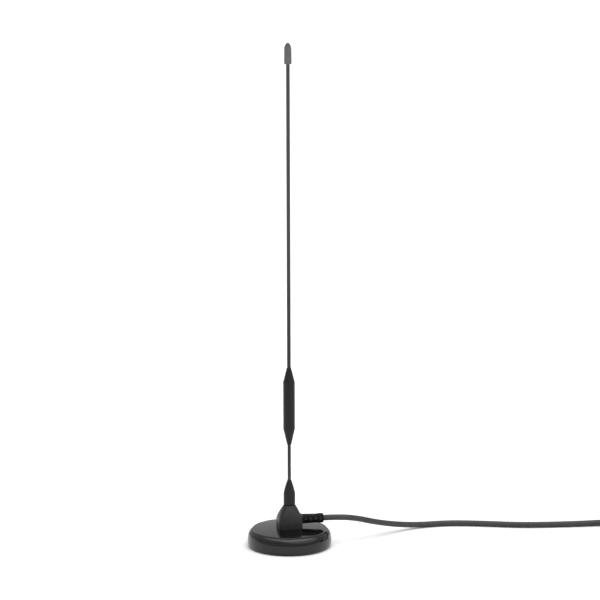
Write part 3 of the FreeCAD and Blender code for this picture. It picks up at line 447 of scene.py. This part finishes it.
def closed_rings(name, rings, loop=False):
    """A mesh from rings of points, one after another along the surface.

    A loop joins its last ring to its first. Otherwise both ends are capped.
    """
    count = len(rings[0])
    points = [point for ring in rings for point in ring]
    faces = []
    pairs = list(zip(range(len(rings)), range(1, len(rings))))
    if loop:
        pairs.append((len(rings) - 1, 0))
    for first, second in pairs:
        for index in range(count):
            following = (index + 1) % count
            faces.append((first * count + index, first * count + following,
                          second * count + following, second * count + index))
    if not loop:
        last = (len(rings) - 1) * count
        faces.append(tuple(range(count))[::-1])
        faces.append(tuple(range(last, last + count)))
    mesh = bpy.data.meshes.new(name)
    mesh.from_pydata(points, [], faces)
    mesh.validate()
    piece = bpy.data.objects.new(name, mesh)
    bpy.context.scene.collection.objects.link(piece)
    return piece


def finish_mesh(piece, material, sharp):
    """Outward faces, smooth shading with crisp edges, and the piece's material."""
    mesh = piece.data
    build = bmesh.new()
    build.from_mesh(mesh)
    bmesh.ops.recalc_face_normals(build, faces=build.faces)
    build.to_mesh(mesh)
    build.free()
    mesh.shade_smooth()
    mesh.set_sharp_from_angle(angle=sharp)
    mesh.materials.append(material)


def ring_about_z(level, segments, radius_at):
    """Points round the Z axis at one level. radius_at gives the radius for a share of the turn."""
    points = []
    for index in range(segments):
        angle = 2 * math.pi * index / segments
        radius = radius_at(index / segments)
        points.append((radius * math.cos(angle), radius * math.sin(angle), level))
    return points


def turned_rings(profile, segments):
    """Round rings from a profile of levels and radii."""
    rings = []
    for level, radius in profile:
        rings.append(ring_about_z(level, segments, lambda share: radius))
    return rings


# A right-hand thread. A groove of negative depth is cut outwards, in a bore. The groove reaches its
# depth in 1/run_in of the thread's length and leaves it in 1/run_out.
Thread = namedtuple("Thread", "pitch depth rows_per_turn run_in run_out segments")


def thread_rings(thread, start, end, radius):
    """Rings of a thread from one level to another, cut as a V groove from the radius given."""
    rows = int(abs(end - start) / thread.pitch * thread.rows_per_turn)
    rings = []
    for row in range(1, rows + 1):
        along = row / rows
        level = start + (end - start) * along
        depth = thread.depth * min(1.0, along * thread.run_in, (1 - along) * thread.run_out)

        def radius_at(share):
            phase = (level / thread.pitch - share) % 1.0
            return radius - depth * (1 - abs(2 * phase - 1))

        rings.append(ring_about_z(level, thread.segments, radius_at))
    return rings


# ---------------------------------------------------------------- the contact stud
STUD_THREAD = Thread(pitch=0.0007, depth=0.00036, rows_per_turn=10, run_in=6, run_out=8, segments=64)
STUD_SHARP = math.radians(32)
# Sizes as shares of the shoulder's radius.
STUD_STEM = 0.545
STUD_THREADED = 0.8515
STUD_EDGE = 0.1
STUD_CHAMFER = 0.2


def make_stud(material):
    """The stud that the whip screws onto: stem, shoulder, and a cut thread with a lead-in."""
    low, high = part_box("contact_stud")
    centre = (low + high) / 2
    shoulder_radius = (high.x - low.x) / 2
    shoulder_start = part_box("feed_lug")[1].z
    housing_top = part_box("mount_housing")[1].z
    stem_radius = shoulder_radius * STUD_STEM
    thread_radius = shoulder_radius * STUD_THREADED
    edge = shoulder_radius * STUD_EDGE
    chamfer = shoulder_radius * STUD_CHAMFER
    rings = turned_rings([(low.z, stem_radius - edge),
                          (low.z + edge, stem_radius),
                          (shoulder_start, stem_radius),
                          (shoulder_start, shoulder_radius),
                          (housing_top, shoulder_radius),
                          (housing_top, thread_radius)], STUD_THREAD.segments)
    rings += thread_rings(STUD_THREAD, housing_top, high.z - chamfer, thread_radius)
    rings += turned_rings([(high.z, thread_radius - chamfer)], STUD_THREAD.segments)
    stud = closed_rings("threaded_stud", rings)
    stud.data.transform(Matrix.Translation((centre.x, centre.y, 0)))
    finish_mesh(stud, material, STUD_SHARP)
    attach(stud, "base")
    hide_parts("contact_stud")


# ---------------------------------------------------------------- the plug's coupling nut
NUT_THREAD = Thread(pitch=0.0007056, depth=-0.00034, rows_per_turn=9, run_in=5, run_out=8, segments=96)
NUT_SHARP = math.radians(28)
NUT_BACK_LENGTH = 0.0014
NUT_GROOVE = 0.00025
NUT_CHAMFER_STEPS = 4
# Radii as shares of half the width across the flats.
NUT_BORE = 0.75
NUT_LIP = 0.655
NUT_COLLAR = 0.94
NUT_BACK_CORNER = 0.97
NUT_FRONT_CORNER = 0.96
NUT_FACE = 0.93
# Levels as shares of the length, from the back.
NUT_COLLAR_END = 0.13
NUT_NECK_START = 0.14
NUT_NECK_END = 0.17
NUT_HEXAGON_START = 0.175
NUT_BACK_CHAMFER = (0.18, 0.225)
NUT_FRONT_CHAMFER = (0.94, 0.995)


def hexagon_ring(level, half_flats, limit):
    """A hexagon's outline, cut back to a circle where the turned chamfer is inside its corners."""
    def radius_at(share):
        from_flat = 2 * math.pi * share % (math.pi / 3) - math.pi / 6
        return min(half_flats / math.cos(from_flat), limit)

    return ring_about_z(level, NUT_THREAD.segments, radius_at)


def chamfer_rings(levels, limits, half_flats):
    """Hexagon rings between two levels, as the circle that cuts their corners grows or shrinks."""
    rings = []
    for step in range(NUT_CHAMFER_STEPS + 1):
        share = step / NUT_CHAMFER_STEPS
        level = levels[0] + (levels[1] - levels[0]) * share
        limit = limits[0] + (limits[1] - limits[0]) * share
        rings.append(hexagon_ring(level, half_flats, limit))
    return rings


def make_nut(material):
    """Hexagon coupling nut: chamfered corners, a turned collar at the back and the thread inside."""
    low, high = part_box("coupling_nut")
    centre = (low + high) / 2
    length = high.y - low.y
    half_flats = (high.z - low.z) / 2
    corner = half_flats / math.cos(math.pi / 6)
    collar = half_flats * NUT_COLLAR
    bore = half_flats * NUT_BORE
    lip = half_flats * NUT_LIP
    # Outside, from the back face to the front face.
    rings = turned_rings([(0.0, collar - NUT_GROOVE),
                          (NUT_GROOVE, collar),
                          (length * NUT_COLLAR_END, collar),
                          (length * NUT_NECK_START, collar - NUT_GROOVE),
                          (length * NUT_NECK_END, collar - NUT_GROOVE)], NUT_THREAD.segments)
    rings.append(hexagon_ring(length * NUT_HEXAGON_START, half_flats, collar))
    rings += chamfer_rings([length * share for share in NUT_BACK_CHAMFER],
                           (half_flats * NUT_BACK_CORNER, corner), half_flats)
    rings += chamfer_rings([length * share for share in NUT_FRONT_CHAMFER],
                           (corner, half_flats * NUT_FRONT_CORNER), half_flats)
    # The front face, then inside from the mouth back to the lip.
    rings += turned_rings([(length, half_flats * NUT_FACE),
                           (length, bore - NUT_THREAD.depth)], NUT_THREAD.segments)
    rings += thread_rings(NUT_THREAD, length, NUT_BACK_LENGTH, bore)
    rings += turned_rings([(NUT_BACK_LENGTH, lip), (0.0, lip)], NUT_THREAD.segments)
    nut = closed_rings("hex_coupling_nut", rings, loop=True)
    lay = Matrix.Translation((centre.x, high.y, centre.z)) @ Matrix.Rotation(math.pi / 2, 4, "X")
    nut.data.transform(lay)
    finish_mesh(nut, material, NUT_SHARP)
    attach(nut, "plug_nut")
    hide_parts("coupling_nut")
    return nut


# ---------------------------------------------------------------- the lead's route
LEAD_DIAMETER = 0.0036
LEAD_STEPS = 6
LEAD_ROUNDNESS = 6
LEAD_ROUTE = [
    (0.0210, 0.0, 0.0167),
    (0.0300, 0.0, 0.0167),
    (0.0420, 0.0030, 0.0147),
    (0.0560, 0.0098, 0.0095),
    (0.0710, 0.0184, 0.0049),
    (0.0870, 0.0252, 0.00185),
    (0.1060, 0.0266, 0.00185),
    (0.1270, 0.0210, 0.00185),
    (0.1490, 0.0130, 0.00185),
    (0.1720, 0.0098, 0.00185),
    (0.1940, 0.0082, 0.00195),
    (0.2150, 0.0064, 0.0026),
]
TAIL_ROUTE = [
    (0.2450, 0.0064, 0.0120),
    (0.2565, 0.0044, 0.0090),
    (0.2650, -0.0020, 0.0061),
    (0.2692, -0.0105, 0.00495),
    (0.2700, -0.0195, 0.00475),
    (0.2700, -0.0280, 0.00475),
]
COIL_COLUMNS = 5
COIL_LAYERS = 4
# From the coil solid's outside in to the middle of the outermost turn, in diameters.
COIL_INSET = 0.55
POINTS_PER_TURN = 16
TURN_PITCH = 0.0036
CROSSING_SHARE = 0.2
# How far a turn strays from a circle, how often, and how its strays shift from turn to turn.
SWAY = 0.00012
SWAYS_PER_TURN = 2
SWAY_SHIFT = 1.7


def coil_columns():
    """Radii of the columns of turns, from the outermost inwards."""
    low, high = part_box("coax_coil")
    outermost = (high.x - low.x) / 2 - LEAD_DIAMETER * COIL_INSET
    return [outermost - column * TURN_PITCH for column in range(COIL_COLUMNS)]


def coil_route():
    """Turns wound beside and on each other: inwards in the first layer, outwards in the next."""
    low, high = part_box("coax_coil")
    centre = (low + high) / 2
    outermost = coil_columns()[0]
    bottom = low.z + LEAD_DIAMETER / 2
    # The line passes inside its control points, so they stand this much further out.
    outset = 1 / math.cos(math.pi / POINTS_PER_TURN)
    points = []
    for turn in range(COIL_COLUMNS * COIL_LAYERS):
        layer, column = divmod(turn, COIL_COLUMNS)
        inward = layer % 2 == 0
        here = column if inward else COIL_COLUMNS - 1 - column
        last_column = column == COIL_COLUMNS - 1
        onward = here if last_column else here + (1 if inward else -1)
        for step in range(POINTS_PER_TURN):
            share = step / POINTS_PER_TURN
            shift = smooth((share - 1 + CROSSING_SHARE) / CROSSING_SHARE)
            lift = shift if last_column and layer < COIL_LAYERS - 1 else 0.0
            place = here + (onward - here) * shift
            sway = SWAY * math.sin(2 * math.pi * share * SWAYS_PER_TURN + turn * SWAY_SHIFT)
            radius = (outermost - place * TURN_PITCH + sway) * outset
            angle = math.pi / 2 - 2 * math.pi * share
            points.append((centre.x + radius * math.cos(angle),
                           centre.y + radius * math.sin(angle),
                           bottom + (layer + lift) * TURN_PITCH))
    points.append((centre.x, centre.y + outermost, bottom + (COIL_LAYERS - 1) * TURN_PITCH))
    return points


# ---------------------------------------------------------------- the strap round the coil
STRAP_THICKNESS = 0.0007
STRAP_GAP = 0.00008
STRAP_CORNER = 0.0026
STRAP_SHARP = math.radians(50)
STRAP_STEPS = 150
STRAP_COLUMNS = 14
# How often the strap goes round, where it starts, and where and how fast it climbs on itself.
STRAP_LAPS = 1.26
STRAP_START = -0.12
STRAP_CLIMB_START = 0.90
STRAP_CLIMB_SHARE = 0.10
# Its free end: how high it stands off, over what length, and how blunt its rounding is.
STRAP_END_LIFT = 0.0003
STRAP_END_LENGTH = 0.004
STRAP_END_BLUNTNESS = 0.05
# How much thinner it is at its side edges, and how suddenly.
STRAP_EDGE_THINNING = 0.35
STRAP_EDGE_POWER = 6


def strap_path(width, height, corner, share):
    """Point and outward direction on a rounded rectangle about the origin, share of the way round."""
    flat_x, flat_z = width / 2 - corner, height / 2 - corner
    quarter = math.pi * corner / 2
    walk = (share % 1.0) * (4 * (flat_x + flat_z) + 4 * quarter)
    legs = [(flat_x, (0, 1)), (flat_z, (1, 0)), (flat_x, (0, -1)), (flat_z, (-1, 0))]
    corners = [(1, 1), (1, -1), (-1, -1), (-1, 1)]
    for (half, (out_x, out_z)), (side_x, side_z) in zip(legs, corners):
        if walk <= 2 * half:
            along = walk - half
            x = along * out_z + out_x * width / 2
            z = -along * out_x + out_z * height / 2
            return (x, z), (out_x, out_z)
        walk -= 2 * half
        if walk <= quarter:
            angle = math.atan2(out_z, out_x) - walk / corner
            out = (math.cos(angle), math.sin(angle))
            return (side_x * flat_x + corner * out[0], side_z * flat_z + corner * out[1]), out
        walk -= quarter
    # Rounding can carry a walk of the whole way just past the last corner.
    return (-flat_x, height / 2), (0, 1)


def make_strap(material):
    """Webbing wound once round the bundle and lapped over itself, with a rounded, lifted end."""
    coil_low, coil_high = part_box("coax_coil")
    tie_low, tie_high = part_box("cable_tie")
    centre_x = (coil_low.x + coil_high.x) / 2
    centre_y = (coil_low.y + coil_high.y) / 2
    outermost, innermost = coil_columns()[0], coil_columns()[-1]
    bundle_out = outermost + LEAD_DIAMETER / 2 + STRAP_GAP
    bundle_in = innermost - LEAD_DIAMETER / 2 - STRAP_GAP
    bottom = coil_low.z - STRAP_GAP
    top = coil_low.z + LEAD_DIAMETER + (COIL_LAYERS - 1) * TURN_PITCH + STRAP_GAP
    width, height = bundle_out - bundle_in, top - bottom
    half = (tie_high.x - tie_low.x) / 2
    middle_y = centre_y - (bundle_out + bundle_in) / 2
    middle_z = (top + bottom) / 2
    across = [2 * column / STRAP_COLUMNS - 1 for column in range(STRAP_COLUMNS + 1)]
    rings = []
    for step in range(STRAP_STEPS + 1):
        lap = STRAP_LAPS * step / STRAP_STEPS
        (side, up), (out_side, out_up) = strap_path(width, height, STRAP_CORNER, lap + STRAP_START)
        to_end = (STRAP_LAPS - lap) * 2 * (width + height)
        lift = smooth((lap - STRAP_CLIMB_START) / STRAP_CLIMB_SHARE) * (STRAP_THICKNESS + STRAP_GAP)
        lift += STRAP_END_LIFT * max(0.0, 1 - to_end / STRAP_END_LENGTH) ** 2
        rounding = math.sqrt(max(0.0, 1 - (1 - min(to_end / half, 1.0)) ** 2))
        taper = min(1.0, rounding + STRAP_END_BLUNTNESS)
        ring = []
        for face, order in ((-0.5, across), (0.5, across[::-1])):
            for place in order:
                pillow = 1 - STRAP_EDGE_THINNING * abs(place) ** STRAP_EDGE_POWER
                offset = lift + STRAP_THICKNESS * (0.5 + face * pillow)
                ring.append((centre_x + place * half * taper,
                             middle_y - side - out_side * offset,
                             middle_z + up + out_up * offset))
        rings.append(ring)
    strap = closed_rings("coil_strap", rings)
    finish_mesh(strap, material, STRAP_SHARP)
    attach(strap, "base")
    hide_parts("cable_tie")
    return strap


# ---------------------------------------------------------------- the lead
def make_lead(material):
    """The whole 3 m cable as one smooth line: run to the right, coil, and tail to the plug."""
    route = LEAD_ROUTE + coil_route() + TAIL_ROUTE
    curve = bpy.data.curves.new("coax_cable", "CURVE")
    curve.dimensions = "3D"
    curve.resolution_u = LEAD_STEPS
    curve.bevel_depth = LEAD_DIAMETER / 2
    curve.bevel_resolution = LEAD_ROUNDNESS
    curve.use_fill_caps = True
    spline = curve.splines.new("NURBS")
    spline.points.add(len(route) - 1)
    for point, place in zip(spline.points, route):
        point.co = (*place, 1)
    spline.order_u = 3
    spline.use_endpoint_u = True
    cable = bpy.data.objects.new("coax_cable", curve)
    bpy.context.scene.collection.objects.link(cable)
    curve.materials.append(material)
    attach(cable, "base")
    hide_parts("coax_lead", "coax_coil", "coax_tail")


# ---------------------------------------------------------------- stage
# The tent's brightness at the horizon and overhead, and the ray's Z where the overhead glow starts
# and is full.
HORIZON_STRENGTH = 0.6
ZENITH_STRENGTH = 2.2
GLOW_START = 0.68
GLOW_FULL = 0.96
KEY_STRENGTH = 1.0
KEY_ANGLE = math.radians(80)
KEY_ELEVATION = math.radians(55)
KEY_AZIMUTH = math.radians(35)
FLOOR_HALF = 8.0
FLOOR_GREY = 0.9
FLOOR_ROUGHNESS = 0.9
FLOOR_SPECULAR = 0.1


def make_tent():
    """A white tent all round, brighter overhead."""
    world = bpy.data.worlds.new("studio")
    bpy.context.scene.world = world
    world.use_nodes = True
    tree = world.node_tree
    background = tree.nodes["Background"]
    background.inputs["Color"].default_value = (1, 1, 1, 1)
    ray = tree.nodes.new("ShaderNodeSeparateXYZ")
    tree.links.new(tree.nodes.new("ShaderNodeTexCoord").outputs["Generated"], ray.inputs["Vector"])
    glow = tree.nodes.new("ShaderNodeMapRange")
    glow.interpolation_type = "SMOOTHSTEP"
    for socket, value in (("From Min", GLOW_START), ("From Max", GLOW_FULL),
                          ("To Min", HORIZON_STRENGTH), ("To Max", ZENITH_STRENGTH)):
        glow.inputs[socket].default_value = value
    tree.links.new(ray.outputs["Z"], glow.inputs["Value"])
    tree.links.new(glow.outputs["Result"], background.inputs["Strength"])


def make_key():
    """One broad key light from the front right."""
    key = bpy.data.lights.new("key", "SUN")
    key.energy = KEY_STRENGTH
    key.angle = KEY_ANGLE
    lamp = bpy.data.objects.new("key", key)
    bpy.context.scene.collection.objects.link(lamp)
    toward = Vector((math.sin(KEY_AZIMUTH) * math.cos(KEY_ELEVATION),
                     -math.cos(KEY_AZIMUTH) * math.cos(KEY_ELEVATION), math.sin(KEY_ELEVATION)))
    lamp.rotation_euler = toward.to_track_quat("Z", "Y").to_euler()


def make_floor():
    """A plain pale floor."""
    mesh = bpy.data.meshes.new("floor")
    half = FLOOR_HALF
    mesh.from_pydata([(-half, -half, 0), (half, -half, 0), (half, half, 0), (-half, half, 0)],
                     [], [(0, 1, 2, 3)])
    floor = bpy.data.objects.new("floor", mesh)
    bpy.context.scene.collection.objects.link(floor)
    paint = Finish("floor", specular=FLOOR_SPECULAR)
    paint.shader.inputs["Base Color"].default_value = (*grey(FLOOR_GREY), 1)
    paint.shader.inputs["Roughness"].default_value = FLOOR_ROUGHNESS
    mesh.materials.append(paint.material)


make_camera()
finishes = make_materials()
nut = make_nut(finishes["nickel"])
strap = make_strap(finishes["strap"])
make_lead(finishes["jacket"])
make_stud(finishes["brass"])
make_tent()
make_key()
make_floor()
bpy.context.scene.view_settings.view_transform = "Standard"
